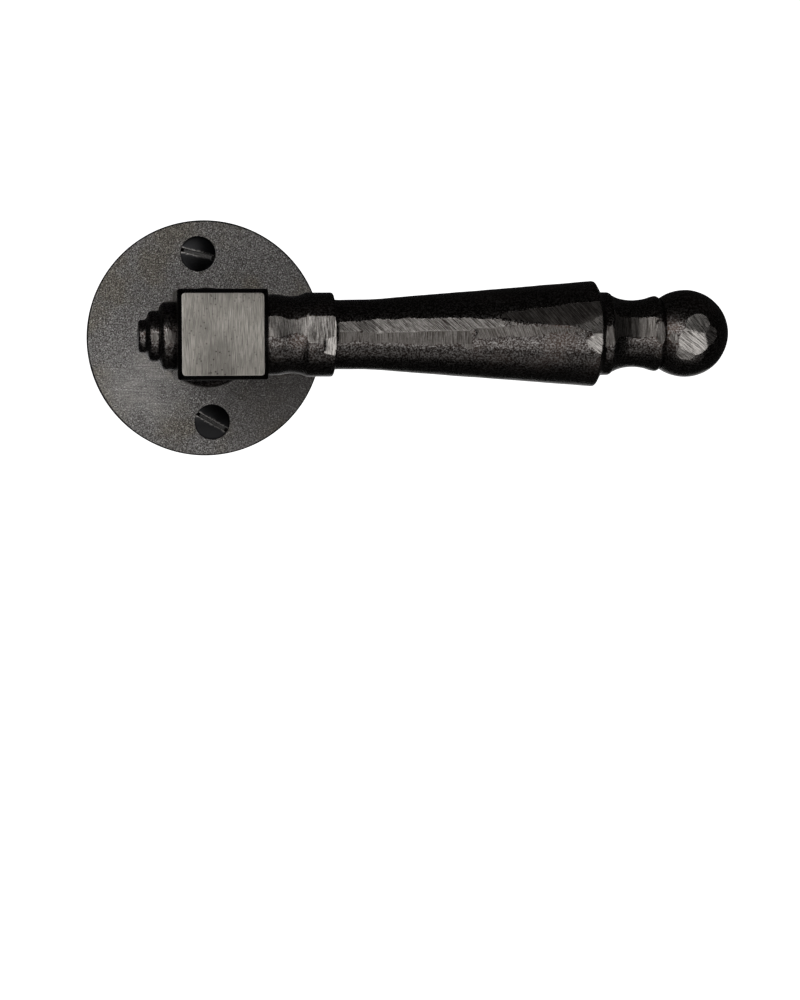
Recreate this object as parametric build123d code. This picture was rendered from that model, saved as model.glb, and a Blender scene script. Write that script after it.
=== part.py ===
from build123d import *
import os
from math import asin, atan, cos, degrees, radians, sin, sqrt

# Lever door handle on a sprung round rose, in millimetres.
# Every piece is built with the door's face as the bench top: x runs along the grip, y is up the
# door and z is the height off the door. At the end each piece is stood up, so that in the
# finished part the door's face is y = 0, the handle stands out towards -Y and +Z is up.
# The origin is the centre of the rose's back face, on the axis that the lever turns about.

# Driving dimensions: rose and its screws
rose_diameter = 60.0
rose_thickness = 6.0
rose_rim_chamfer = 0.8
screw_edge_margin = 8.5       # screw axis to the rose's rim
screw_tilt = 4.4              # the line through the screws leans this far from upright
screw_shank_diameter = 4.5
screw_head_diameter = 8.8
screw_head_dome = 0.5
screw_thread_diameter = 3.8   # mean of the thread's crest and root
screw_length = 30.0           # from the head's rim to the tip
screw_tip_length = 5.0
screw_mouth_diameter = 9.1
slot_width = 1.0
slot_depth = 1.3
slot_angle_upper = -14.5
slot_angle_lower = -30.0

# Driving dimensions: lever casting
lever_axis_height = 61.5
head_width = 21.2
head_front_rise = 11.5        # lever axis to the head's front face
head_bevel_side = 1.0
head_bevel_depth = 1.9
flare_drop = 17.1             # lever axis to the foot of the flare under the head
flare_slope = 1.4             # rise of the flare for each millimetre that it widens
neck_foot_radius = 9.55
neck_belly_radius = 10.4
neck_waist_radius = 8.7
collar_height = 9.4
collar_cove_height = 4.4      # hollow moulding between the collar and the neck
ring_radius = 9.7             # first ring beside the head
ring_length = 3.8
hollow_radius = 9.2
hollow_length = 5.4
grip_collar_radius = 10.0
grip_collar_length = 6.8
grip_collar_flat_depth = 0.9  # the mould line is ground flat along the front
grip_root_radius = 8.25
grip_root_length = 8.3
grip_end_radius = 12.65
grip_length = 63.7
grip_end_slope = 1.5          # length of the cone that closes the grip
step_radius = 9.9
step_length = 2.2
ball_neck_radius = 8.0
ball_neck_length = 11.5
ball_ring_radius = 9.05
ball_foot_length = 1.6        # from the ring to the ball
ball_foot_draw = 0.3          # the foot's taper from the ring to the ball
ball_radius = 10.5
ball_flat_radius = 4.0
ball_flat_turn = 3.0          # the ball's flat looks this far towards the end of the lever
ball_flat_dip = 8.0           # and this far down the door
finial_radii = (8.1, 6.0, 3.9)
finial_lengths = (3.8, 3.0, 2.1)

# Driving dimensions: spindle and spring cassette
spindle_size = 8.0
spindle_length = 100.0
spindle_in_lever = 34.0
grub_diameter = 6.0
grub_length = 5.0
grub_height = 24.0
grub_key_size = 3.0
grub_key_depth = 2.2
grub_chamfer = 0.5
spindle_chamfer = 0.8
spigot_wall = 1.7
bush_wall = 0.95
bush_length = 4.75
bush_flange_thickness = 0.8
spring_wire = 1.6
spring_turns = 3.75
plate_thickness = 1.0
plate_rim_inset = 5.0
stop_pin_diameter = 3.0
stop_washer_thickness = 0.9
stop_lobe_half_angle = 20.0
wave_washer_thickness = 0.4
wave_washer_inset = 1.0       # wave washer's edge inside the stop washer's
circlip_thickness = 1.0
circlip_width = 1.8
circlip_groove_depth = 0.35
circlip_opening = 3.0
circlip_ear_spacing = 5.2
circlip_ear_radius = 1.4
circlip_ear_hole_radius = 0.6
spigot_lip = 0.7
spigot_flat_depth = 0.8
collar_wall = 1.75
lobe_past_pins = 1.2          # lobe's edge outside the circle of the stop pins
cove_step = 0.6               # heights of the small steps at both ends of the cove
cove_inset = 0.3
neck_foot_step = 0.25
flare_ledge = 1.1             # flare's foot wider than the neck's waist
flare_past_corner = 0.6
finial_root = 1.0             # finial buried in the head
lever_travel = 45.0

# Clearances
spindle_clearance = 0.1
running_clearance = 0.05      # radial, lever in its bush
thrust_gap = 0.05             # axial, at each face of the bearing
collar_gap = 0.3              # lever's collar off the rose
stop_clearance = 0.5          # degrees, lobe to stop pin at each end of the travel
spring_gap = 0.4
plate_gap = 0.1
screw_gap = 0.05
thread_gap = 0.05
groove_gap = 0.05
press_gap = 0.1               # lever's core off the bush, spring off the bush's flange
recess_gap = 0.2              # rose off the base plate's rim
wave_washer_gap = 0.2         # wave washer off the spigot
dish_gap = 0.3                # rose off the base plate's dish
pin_gap = 0.3                 # stop pins off the spring's coils and off the washer's round edge
pin_margin = 0.5              # dish wall off the stop pins
pin_reach = 0.2               # stop pins past the back of the stop washer
flange_margin = 0.2           # bush flange past the spring's coils
coil_gap = 0.25
leg_gap = 0.4                 # leg holes wider and deeper than the spring's legs

# Radii, from the spindle outwards
socket_size = spindle_size + 2 * spindle_clearance
spigot_radius = socket_size / sqrt(2) + spigot_wall
bush_bore_radius = spigot_radius + running_clearance
bush_radius = bush_bore_radius + bush_wall
spring_radius = bush_radius + spring_gap + spring_wire / 2
spring_outer_radius = spring_radius + spring_wire / 2
core_radius = bush_radius - press_gap
pocket_radius = spring_outer_radius + spring_gap
collar_radius = pocket_radius + collar_wall
rose_bore_radius = spring_outer_radius + spring_gap + press_gap
stop_pin_radius = stop_pin_diameter / 2
stop_circle_radius = spring_outer_radius + stop_pin_radius + pin_gap
washer_radius = stop_circle_radius - stop_pin_radius - pin_gap
lobe_radius = stop_circle_radius + lobe_past_pins
dish_radius = stop_circle_radius + stop_pin_radius + pin_margin
plate_radius = rose_diameter / 2 - plate_rim_inset
screw_circle_radius = rose_diameter / 2 - screw_edge_margin
groove_radius = spigot_radius - circlip_groove_depth

# Heights off the door, from the back of the spigot forwards
spigot_back = 0.1
groove_back = spigot_back + spigot_lip
circlip_back = groove_back + groove_gap
wave_back = circlip_back + circlip_thickness
washer_back = wave_back + wave_washer_thickness
washer_front = washer_back + stop_washer_thickness
floor_back = washer_front + thrust_gap
floor_front = floor_back + plate_thickness
bush_front = floor_back + bush_length
core_back = bush_front + thrust_gap
spring_back = floor_front + bush_flange_thickness + press_gap
spring_pitch = spring_wire + coil_gap
spring_front = spring_back + spring_pitch * spring_turns + spring_wire
pocket_front = spring_front + spring_gap
collar_back = rose_thickness + collar_gap
collar_front = collar_back + collar_height
socket_front = spindle_in_lever + 2.0
head_front = lever_axis_height + head_front_rise
flare_back = lever_axis_height - flare_drop
flare_root_radius = neck_waist_radius + flare_ledge

# Places along the grip
quirk = 0.4
grip_collar_start = head_width / 2 + ring_length + hollow_length
grip_collar_end = grip_collar_start + grip_collar_length
grip_start = grip_collar_end + quirk

# Angles about the turning axis, in degrees from +X towards the bottom of the door
stop_half_angle = stop_lobe_half_angle + degrees(asin(stop_pin_radius / stop_circle_radius))
lobe_angle = 270 - lever_travel / 2
rest_pin_angle = lobe_angle - stop_half_angle - stop_clearance
down_pin_angle = lobe_angle + lever_travel + stop_half_angle + stop_clearance
spring_leg_angle = 90.0
leg_hole_diameter = spring_wire + leg_gap
leg_hole_front = pocket_front + 3.0


def around(radius, angle, height=0.0):
    """Place on a circle about the turning axis."""
    return Pos(radius * cos(radians(angle)), -radius * sin(radians(angle)), height)


def disc(radius, back, front):
    """Round bar about the turning axis, between two heights."""
    return Pos(0, 0, (back + front) / 2) * Cylinder(radius, front - back)


def tube(inner, outer, back, front):
    """Ring about the turning axis, between two heights."""
    return disc(outer, back, front) - disc(inner, back - 1, front + 1)


def square_bar(size, back, front):
    """Square bar about the turning axis, between two heights."""
    return Pos(0, 0, (back + front) / 2) * Box(size, size, front - back)


def turned(*outline):
    """Solid turned about the door's normal from lines through (radius, height) points."""
    return revolve(Plane.XZ * make_face(Curve() + list(outline)), Axis.Z)


def turned_along_grip(*outline):
    """Solid turned about the lever's long axis from lines through (x, radius) points."""
    solid = revolve(make_face(Curve() + list(outline)), Axis.X)
    return Pos(0, 0, lever_axis_height) * solid


def screw_places():
    """The two screw axes, upper first."""
    upper = around(screw_circle_radius, -90 - screw_tilt)
    lower = around(screw_circle_radius, 90 - screw_tilt)
    return upper, lower


def leg_slot(inner, outer, back, front):
    """Radial slot that the back leg of the spring stands in, round-ended at the leg."""
    radius = leg_hole_diameter / 2
    middle = (back + front) / 2
    end = around(spring_radius, spring_leg_angle, middle) * Cylinder(radius, front - back)
    run = around((inner + outer) / 2, spring_leg_angle, middle) * Rot(0, 0, -spring_leg_angle)
    return end + run * Box(outer - inner, 2 * radius, front - back)


def make_rose():
    """Cast plate with countersunk holes, hollow behind for the base plate."""
    radius = rose_diameter / 2
    plate = chamfer(disc(radius, 0, rose_thickness).edges().group_by(Axis.Z)[-1], rose_rim_chamfer)
    plate -= disc(plate_radius + recess_gap, -1, plate_thickness + screw_gap)
    plate -= disc(dish_radius + plate_thickness + dish_gap, -1, floor_front + plate_gap)
    plate -= disc(rose_bore_radius, -1, rose_thickness + 1)
    mouth = screw_mouth_diameter / 2
    hole = screw_shank_diameter / 2 + screw_gap
    depth = mouth - hole
    for place in screw_places():
        plate -= place * disc(hole, -1, rose_thickness)
        plate -= place * Pos(0, 0, rose_thickness - depth / 2) * Cone(hole, mouth, depth)
    return plate


def make_base_plate():
    """Pressed steel plate: flat rim on the door, dished forward round the bearing."""
    plate = disc(plate_radius, 0, plate_thickness)
    plate += disc(dish_radius + plate_thickness, 0, floor_front)
    plate -= disc(dish_radius, -1, floor_back)
    plate -= disc(bush_radius, -1, floor_front + 1)
    plate -= leg_slot(0, spring_radius, floor_back - 1, floor_front + 1)
    for place in screw_places():
        plate -= place * disc(screw_shank_diameter / 2 + 2 * screw_gap, -1, plate_thickness + 1)
    for angle in (rest_pin_angle, down_pin_angle):
        plate -= around(stop_circle_radius, angle) * disc(stop_pin_radius, floor_back - 1, floor_front + 1)
    return plate


def make_bush():
    """Flanged bronze bush, pressed through the base plate from the front."""
    flange_radius = spring_outer_radius + flange_margin
    flange_front = floor_front + bush_flange_thickness
    bush = turned(Polyline((bush_bore_radius, floor_back), (bush_radius, floor_back),
                           (bush_radius, floor_front), (flange_radius, floor_front),
                           (flange_radius, flange_front), (bush_radius, flange_front),
                           (bush_radius, bush_front), (bush_bore_radius, bush_front),
                           (bush_bore_radius, floor_back)))
    return bush - leg_slot(spring_radius, flange_radius + 1, floor_front - 0.5, flange_front + 1)


def make_stop_pin(angle):
    """Pin riveted into the base plate that the lobe runs up against."""
    return around(stop_circle_radius, angle) * disc(stop_pin_radius, washer_back - pin_reach, floor_front)


def make_return_spring():
    """Torsion spring: round wire, one leg in the base plate and one in the lever."""
    wire = spring_wire / 2
    rise = spring_pitch * spring_turns
    start = spring_back + wire
    path = Helix(spring_pitch, rise, spring_radius)
    section = Plane(path @ 0, z_dir=path % 0) * Circle(wire)
    coil = around(0, 0, start) * Rot(0, 0, -spring_leg_angle) * sweep(section, path, is_frenet=True)
    end_angle = spring_leg_angle - 360 * spring_turns
    back_leg = around(spring_radius, spring_leg_angle) * disc(wire, floor_back + 0.2, start)
    front_leg = around(spring_radius, end_angle) * disc(wire, start + rise, leg_hole_front - leg_gap)
    back_bend = around(spring_radius, spring_leg_angle, start) * Sphere(wire)
    front_bend = around(spring_radius, end_angle, start + rise) * Sphere(wire)
    return coil + back_leg + back_bend + front_leg + front_bend


def make_wood_screw(place, slot_angle):
    """Slotted raised countersunk wood screw."""
    head = screw_head_diameter / 2
    shank = screw_shank_diameter / 2
    thread = screw_thread_diameter / 2
    rim = rose_thickness - (screw_mouth_diameter / 2 - head)
    tip = rim - screw_length
    outline = Polyline((head, rim), (shank, rim - head + shank), (shank, 0), (thread, 0),
                       (thread, tip + screw_tip_length), (0, tip), (0, rim + screw_head_dome))
    dome = ThreePointArc((0, rim + screw_head_dome), (head * 0.5, rim + screw_head_dome * 0.75),
                         (head, rim))
    screw = turned(outline, dome)
    top = rim + screw_head_dome
    slot = Pos(0, 0, top - slot_depth / 2 + 1) * Box(3 * head, slot_width, slot_depth + 2)
    return place * (screw - Rot(0, 0, slot_angle) * slot)


def lever_neck():
    """Collar over the rose, swelling neck and the waist below the flare."""
    foot = collar_front + collar_cove_height + cove_step
    span = flare_back - foot
    rim = (collar_radius - cove_inset, collar_front + cove_step)
    root = (neck_foot_radius + neck_foot_step, foot)
    flare = (flare_root_radius, flare_back)
    side = Polyline((0, collar_back), (collar_radius, collar_back), (collar_radius, collar_front), rim)
    cove = RadiusArc(rim, root, 1.25 * collar_cove_height)
    swell = Spline(root, (neck_foot_radius, foot + 0.06 * span), (neck_belly_radius, foot + 0.36 * span),
                   (neck_waist_radius, foot + 0.8 * span), flare)
    top = Polyline(flare, (0, flare_back), (0, collar_back))
    return turned(side, cove, swell, top)


def lever_head():
    """Square head: its flats run into the round flare, and its front edges are bevelled."""
    corner = head_width / sqrt(2) + flare_past_corner
    corner_height = flare_back + (corner - flare_root_radius) * flare_slope
    bevel_back = head_front - head_bevel_depth
    flare = turned(Polyline((0, flare_back), (flare_root_radius, flare_back), (corner, corner_height),
                            (corner, head_front), (0, head_front), (0, flare_back)))
    block = square_bar(head_width, flare_back, bevel_back)
    face = Pos(0, 0, bevel_back) * Rectangle(head_width, head_width)
    taper = degrees(atan(head_bevel_side / head_bevel_depth))
    return flare & (block + extrude(face, head_bevel_depth, taper=taper))


def lever_finial():
    """Three stepped discs on the far side of the head."""
    edge = -head_width / 2
    root = edge + finial_root
    steps = []
    for radius, length in zip(finial_radii, finial_lengths):
        edge -= length
        steps += [(edge + length, radius), (edge, radius)]
    return turned_along_grip(Polyline((root, 0), (root, finial_radii[0]), *steps, (edge, 0), (root, 0)))


def lever_grip():
    """Collars beside the head, then the tapered grip, closed by a short cone."""
    ring_end = head_width / 2 + ring_length
    grip_end = grip_start + grip_length
    outline = Polyline((0, 0), (0, ring_radius), (ring_end, ring_radius), (ring_end + quirk, hollow_radius),
                       (grip_collar_start, hollow_radius), (grip_collar_start, grip_collar_radius),
                       (grip_collar_end, grip_collar_radius), (grip_collar_end, grip_root_radius),
                       (grip_start + grip_root_length, grip_root_radius),
                       (grip_end - grip_end_slope, grip_end_radius), (grip_end, step_radius),
                       (grip_end, 0), (0, 0))
    grip = turned_along_grip(outline)
    flat_height = lever_axis_height + grip_collar_radius - grip_collar_flat_depth
    middle = (grip_collar_start + grip_collar_end) / 2
    flat = Pos(middle, 0, flat_height + grip_collar_radius)
    return grip - flat * Box(grip_collar_length + 0.2, 3 * grip_collar_radius, 2 * grip_collar_radius)


def lever_ball():
    """Step, hollow neck, ring and ball at the end of the grip."""
    step_start = grip_start + grip_length
    step_end = step_start + step_length
    ring = (step_end + ball_neck_length, ball_ring_radius)
    ball_foot = ring[0] + ball_foot_length
    ball_foot_radius = ball_ring_radius - ball_foot_draw
    start = Polyline((step_start - 1, 0), (step_start - 1, step_radius), (step_end, step_radius))
    hollow = Spline((step_end, step_radius), (step_end + 0.3 * ball_neck_length, ball_neck_radius + 0.1),
                    (step_end + 0.7 * ball_neck_length, ball_neck_radius + 0.4), ring)
    close = Polyline(ring, (ball_foot, ball_foot_radius), (ball_foot, 0), (step_start - 1, 0))
    middle = ball_foot + sqrt(ball_radius ** 2 - ball_foot_radius ** 2)
    flat_distance = sqrt(ball_radius ** 2 - ball_flat_radius ** 2)
    side = 2 * ball_radius
    flat = Rot(ball_flat_dip, ball_flat_turn, 0) * Pos(0, 0, flat_distance + ball_radius) * Box(side, side, side)
    ball = Pos(middle, 0, lever_axis_height) * (Sphere(ball_radius) - flat)
    return turned_along_grip(start, hollow, close) + ball


def make_lever():
    """Neck, head, finial, grip and ball cast in one, bored and machined behind."""
    lever = lever_neck() + lever_head() + lever_grip() + lever_ball() + lever_finial()
    lever -= tube(core_radius, pocket_radius, collar_back - 1, pocket_front)
    lever -= disc(core_radius + 1, collar_back - 1, core_back)
    lever -= around(spring_radius, spring_leg_angle - 360 * spring_turns) * disc(
        leg_hole_diameter / 2, pocket_front - 1, leg_hole_front)
    lever += make_spigot()
    lever -= square_bar(socket_size, spigot_back - 1, socket_front)
    hole_length = collar_radius
    lever -= Pos(-hole_length / 2, 0, grub_height) * Rot(0, 90, 0) * Cylinder(
        grub_diameter / 2, hole_length)
    return lever


def make_spigot():
    """Round spigot in the bush, with two flats for the stop washer and a circlip groove."""
    spigot = disc(spigot_radius, spigot_back, core_back + 1)
    flat = spigot_radius - spigot_flat_depth
    for side in (1, -1):
        spigot -= Pos(0, side * (flat + 5), washer_front / 2) * Box(40, 10, washer_front)
    front = groove_back + circlip_thickness + 2 * groove_gap
    spigot -= tube(groove_radius, spigot_radius + 1, groove_back, front)
    return spigot


def make_spindle():
    """Square steel bar with broken ends, from inside the lever to beyond the latch."""
    back = spindle_in_lever - spindle_length
    bar = square_bar(spindle_size, back, spindle_in_lever)
    ends = bar.edges().group_by(Axis.Z)
    return chamfer(ends[0] + ends[-1], spindle_chamfer)


def make_grub_screw():
    """Headless screw with a hexagon key socket, in the side of the neck away from the grip."""
    key = RegularPolygon(grub_key_size / sqrt(3), 6)
    screw = Cylinder(grub_diameter / 2 - thread_gap, grub_length)
    screw = chamfer(screw.edges(), grub_chamfer)
    screw -= Pos(0, 0, grub_length / 2 - grub_key_depth) * extrude(key, grub_key_depth + 1)
    return Pos(-spindle_size / 2 - grub_length / 2, 0, grub_height) * Rot(0, -90, 0) * screw


def make_stop_washer():
    """Washer keyed to the spigot's flats, with the lobe that runs between the stop pins."""
    washer = disc(washer_radius, washer_back, washer_front)
    middle = (washer_back + washer_front) / 2
    sides = [around(lobe_radius, lobe_angle + side * stop_lobe_half_angle).position for side in (-1, 0, 1)]
    lobe = make_face(Curve() + [ThreePointArc(*sides), Polyline(sides[2], (0, 0), sides[0])])
    washer += Pos(0, 0, washer_back) * extrude(lobe, stop_washer_thickness)
    bore = disc(spigot_radius + thread_gap, washer_back - 1, washer_front + 1)
    flat = spigot_radius - spigot_flat_depth + thread_gap
    bore &= Pos(0, 0, middle) * Box(40, 2 * flat, 10)
    return washer - bore


def make_wave_washer():
    """Thin spring washer between the stop washer and the circlip."""
    return tube(spigot_radius + wave_washer_gap, washer_radius - wave_washer_inset, wave_back, washer_back)


def make_circlip():
    """Open retaining ring with two drilled ears, sprung into the spigot's groove."""
    back = circlip_back
    front = back + circlip_thickness
    outer = groove_radius + circlip_width
    clip = tube(groove_radius, outer, back, front)
    clip -= Pos(0, outer, back) * Box(circlip_opening, 2 * circlip_width + 2, 4)
    for side in (1, -1):
        ear = Pos(side * circlip_ear_spacing / 2, outer - 0.1)
        clip += ear * disc(circlip_ear_radius, back, front)
        clip -= ear * disc(circlip_ear_hole_radius, back - 1, front + 1)
    return clip - disc(groove_radius, back - 1, front + 1)


upper_place, lower_place = screw_places()
parts = {
    "rose": make_rose(),
    "base_plate": make_base_plate(),
    "bush": make_bush(),
    "stop_pin_rest": make_stop_pin(rest_pin_angle),
    "stop_pin_down": make_stop_pin(down_pin_angle),
    "wood_screw_upper": make_wood_screw(upper_place, slot_angle_upper),
    "wood_screw_lower": make_wood_screw(lower_place, slot_angle_lower),
    "return_spring": make_return_spring(),
    "lever": make_lever(),
    "spindle": make_spindle(),
    "grub_screw": make_grub_screw(),
    "stop_washer": make_stop_washer(),
    "wave_washer": make_wave_washer(),
    "circlip": make_circlip(),
}

os.makedirs("parts", exist_ok=True)
for name, shape in parts.items():
    export_step(Rot(90, 0, 0) * shape, f"parts/{name}.step")
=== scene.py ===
import math

import bmesh
import bpy
import numpy as np
from mathutils import Matrix, Vector, noise


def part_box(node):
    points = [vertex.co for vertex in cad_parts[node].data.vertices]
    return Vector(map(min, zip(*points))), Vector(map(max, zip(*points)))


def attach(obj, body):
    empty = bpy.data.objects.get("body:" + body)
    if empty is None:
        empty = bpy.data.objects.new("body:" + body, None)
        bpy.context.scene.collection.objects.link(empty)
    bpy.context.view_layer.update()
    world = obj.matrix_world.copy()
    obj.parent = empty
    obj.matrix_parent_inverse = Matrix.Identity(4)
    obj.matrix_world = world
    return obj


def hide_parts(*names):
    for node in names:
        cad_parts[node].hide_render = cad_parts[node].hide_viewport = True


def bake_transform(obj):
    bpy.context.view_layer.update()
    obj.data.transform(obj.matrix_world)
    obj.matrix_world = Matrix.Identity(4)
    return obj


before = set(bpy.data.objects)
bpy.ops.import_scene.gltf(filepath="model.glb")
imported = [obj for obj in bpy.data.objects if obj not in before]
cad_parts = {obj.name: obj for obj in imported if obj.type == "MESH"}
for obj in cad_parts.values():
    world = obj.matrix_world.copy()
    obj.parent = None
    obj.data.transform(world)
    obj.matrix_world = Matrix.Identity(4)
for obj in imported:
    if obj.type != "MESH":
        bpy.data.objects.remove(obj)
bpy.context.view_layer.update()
mm = 0.001

# ---------------------------------------------------------------------------------------------
# Camera. It looks at the handle from in front of the door, a little from the left and below,
# with the handle in the upper half of the picture.
camera_place = Vector((-45.0, -715.0, -9.2)) * mm
camera_turn = math.radians(7.628)     # to the right
camera_dip = math.radians(-2.62)      # downwards
camera_roll = math.radians(-0.29)
camera_data = bpy.data.cameras.new("camera")
camera_data.sensor_width = 36.0
camera_data.lens = 99.8
camera_data.clip_start = 0.01
camera = bpy.data.objects.new("camera", camera_data)
bpy.context.scene.collection.objects.link(camera)
camera.location = camera_place
aim = Matrix.Rotation(-camera_turn, 4, "Z") @ Matrix.Rotation(math.pi / 2 + camera_dip, 4, "X")
camera.rotation_euler = (aim @ Matrix.Rotation(camera_roll, 4, "Z")).to_euler()
bpy.context.scene.camera = camera
bpy.context.scene.view_settings.view_transform = "Standard"

# ---------------------------------------------------------------------------------------------
# Rose. A round iron casting with a flat face rubbed down on a belt, hollow behind for the base
# plate, and drilled and countersunk for two screws.
rose_low, rose_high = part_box("rose")
rose_radius = rose_high.x
rose_front = -rose_low.y
rose_bore = 11.0 * mm
rose_rim_round = 0.55 * mm
plate_recess = (25.2 * mm, 1.05 * mm)         # radius and depth behind the rose
dish_recess = (15.6 * mm, 4.3 * mm)
screw_circle = 21.5 * mm
screw_tilt = math.radians(4.4)
hole_radius = 2.3 * mm
mouth_radius = 4.55 * mm
mouth_round = 0.12 * mm
screw_axes = [Vector((-math.sin(screw_tilt), 0, math.cos(screw_tilt))) * screw_circle * side
              for side in (1, -1)]


def rounded(*corners):
    """Outline through (along, radius, rounding) corners, in millimetres."""
    steps = 4
    points = []
    for i, (along, radius, size) in enumerate(corners):
        here = Vector((along, radius))
        last = Vector(corners[i - 1][:2]) - here
        next_one = Vector(corners[(i + 1) % len(corners)][:2]) - here
        if size == 0 or last.length * next_one.length == 0:
            points.append(here * mm)
            continue
        start = here + last.normalized() * min(size, last.length / 2)
        end = here + next_one.normalized() * min(size, next_one.length / 2)
        for step in range(steps + 1):
            t = step / steps
            points.append((start * (1 - t) ** 2 + here * 2 * t * (1 - t) + end * t ** 2) * mm)
    return points


def about_door(along, radius, turn):
    """Place off the door's face, round the axis that the lever turns about."""
    return Vector((radius * math.cos(turn), -along, radius * math.sin(turn)))


def lathe(name, outline, place=about_door, turns=128, ring=False, centre=Vector((0, 0, 0))):
    """Piece turned from an outline, closed on its axis, or closed on itself where it is a ring."""
    shape = bmesh.new()
    rows = []
    for along, radius in outline:
        angles = [2 * math.pi * i / turns for i in range(turns)]
        if radius < 1e-7:
            rows.append([shape.verts.new(place(along, 0, 0) + centre)] * turns)
        else:
            rows.append([shape.verts.new(place(along, radius, angle) + centre) for angle in angles])
    pairs = list(zip(rows, rows[1:] + rows[:1])) if ring else list(zip(rows, rows[1:]))
    for one, other in pairs:
        for i in range(turns):
            j = (i + 1) % turns
            corners = list(dict.fromkeys((one[i], one[j], other[j], other[i])))
            if len(corners) > 2:
                shape.faces.new(corners)
    return piece_from(name, shape)


def piece_from(name, shape):
    """Object made from a closed bmesh, with its faces turned outwards."""
    bmesh.ops.recalc_face_normals(shape, faces=shape.faces)
    mesh = bpy.data.meshes.new(name)
    shape.to_mesh(mesh)
    shape.free()
    piece = bpy.data.objects.new(name, mesh)
    bpy.context.scene.collection.objects.link(piece)
    return piece


def settle(piece):
    """Make a piece's modifiers part of its mesh."""
    view = bpy.context.evaluated_depsgraph_get()
    mesh = bpy.data.meshes.new_from_object(piece.evaluated_get(view))
    piece.modifiers.clear()
    piece.data = mesh


def cut(piece, *tools):
    """Cut the tools out of a piece, and put them away."""
    for tool in tools:
        change = piece.modifiers.new("cut", "BOOLEAN")
        change.operation = "DIFFERENCE"
        change.solver = "EXACT"
        change.object = tool
        settle(piece)
        bpy.data.objects.remove(tool)


def smooth(piece):
    """Shade a piece smooth."""
    piece.data.polygons.foreach_set("use_smooth", [True] * len(piece.data.polygons))


def round_edges(piece, width, sharper_than=30, segments=3):
    """Break the sharp edges of a machined piece, and shade it so that its flats stay flat."""
    smooth(piece)
    change = piece.modifiers.new("broken edges", "BEVEL")
    change.width = width
    change.segments = segments
    change.limit_method = "ANGLE"
    change.angle_limit = math.radians(sharper_than)
    piece.modifiers.new("flat flats", "WEIGHTED_NORMAL")
    settle(piece)


def node(tree, kind, inputs=None, **settings):
    """Add a shader node. An input is a value, or the socket that feeds it."""
    made = tree.nodes.new("ShaderNode" + kind)
    for key, value in settings.items():
        setattr(made, key, value)
    for key, value in (inputs or {}).items():
        if isinstance(value, bpy.types.NodeSocket):
            tree.links.new(value, made.inputs[key])
        else:
            made.inputs[key].default_value = value
    return made


def maths(tree, operation, *values, clamp=False):
    """Socket of a maths node on two or three values."""
    made = node(tree, "Math", dict(enumerate(values)), operation=operation, use_clamp=clamp)
    return made.outputs[0]


def between(tree, value, low, high):
    """Socket that rises smoothly from 0 at low to 1 at high."""
    made = node(tree, "MapRange", {"Value": value, "From Min": low, "From Max": high},
                interpolation_type="SMOOTHSTEP")
    return made.outputs[0]


def blend_colour(tree, amount, first, second):
    """Socket of the colour that goes from first to second."""
    made = node(tree, "Mix", {0: amount, 6: first, 7: second}, data_type="RGBA")
    return made.outputs[2]


def new_group(name, inputs, outputs):
    """Shader node group with the named inputs and outputs."""
    tree = bpy.data.node_groups.new(name, "ShaderNodeTree")
    for label, kind in inputs:
        tree.interface.new_socket(label, in_out="INPUT", socket_type="NodeSocket" + kind)
    for label, kind in outputs:
        tree.interface.new_socket(label, in_out="OUTPUT", socket_type="NodeSocket" + kind)
    return tree, tree.nodes.new("NodeGroupInput"), tree.nodes.new("NodeGroupOutput")


def use_group(tree, group, **inputs):
    """Place a node group in a material with its own values."""
    made = tree.nodes.new("ShaderNodeGroup")
    made.node_tree = group
    for key, value in inputs.items():
        socket = made.inputs[key.replace("_", " ")]
        if isinstance(value, bpy.types.NodeSocket):
            tree.links.new(value, socket)
        else:
            socket.default_value = value
    return made


def new_material(name):
    """Material with an empty tree, a Principled BSDF and an object coordinate."""
    material = bpy.data.materials.new(name)
    material.use_nodes = True
    tree = material.node_tree
    surface = tree.nodes["Principled BSDF"]
    place = tree.nodes.new("ShaderNodeTexCoord").outputs["Object"]
    return material, tree, surface, place


# Sand grain: the fine pitted skin that a sand mould leaves, with softer lumps under it.
sand_grain, enter, leave = new_group(
    "sand grain", [("Place", "Vector"), ("Grain Size", "Float"), ("Lump Size", "Float")],
    [("Height", "Float"), ("Grain", "Float"), ("Pits", "Float"), ("Patches", "Float")])
fine = maths(sand_grain, "DIVIDE", 1.0, enter.outputs["Grain Size"])
coarse = maths(sand_grain, "DIVIDE", 1.0, enter.outputs["Lump Size"])
where = enter.outputs["Place"]
grain = node(sand_grain, "TexNoise", {"Vector": where, "Scale": fine, "Detail": 2.0, "Roughness": 0.6})
lumps = node(sand_grain, "TexNoise", {"Vector": where, "Scale": coarse, "Detail": 3.0})
pits = node(sand_grain, "TexVoronoi", {"Vector": where, "Scale": maths(sand_grain, "MULTIPLY", fine, 0.45)})
pit_depth = between(sand_grain, pits.outputs["Distance"], 0.16, 0.04)
patches = node(sand_grain, "TexNoise", {"Vector": where, "Scale": 70.0, "Detail": 3.0})
height = maths(sand_grain, "ADD", grain.outputs["Fac"],
               maths(sand_grain, "MULTIPLY", lumps.outputs["Fac"], 1.2))
height = maths(sand_grain, "SUBTRACT", height, maths(sand_grain, "MULTIPLY", pit_depth, 0.7))
sand_grain.links.new(height, leave.inputs["Height"])
sand_grain.links.new(grain.outputs["Fac"], leave.inputs["Grain"])
sand_grain.links.new(pit_depth, leave.inputs["Pits"])
sand_grain.links.new(patches.outputs["Fac"], leave.inputs["Patches"])

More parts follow.
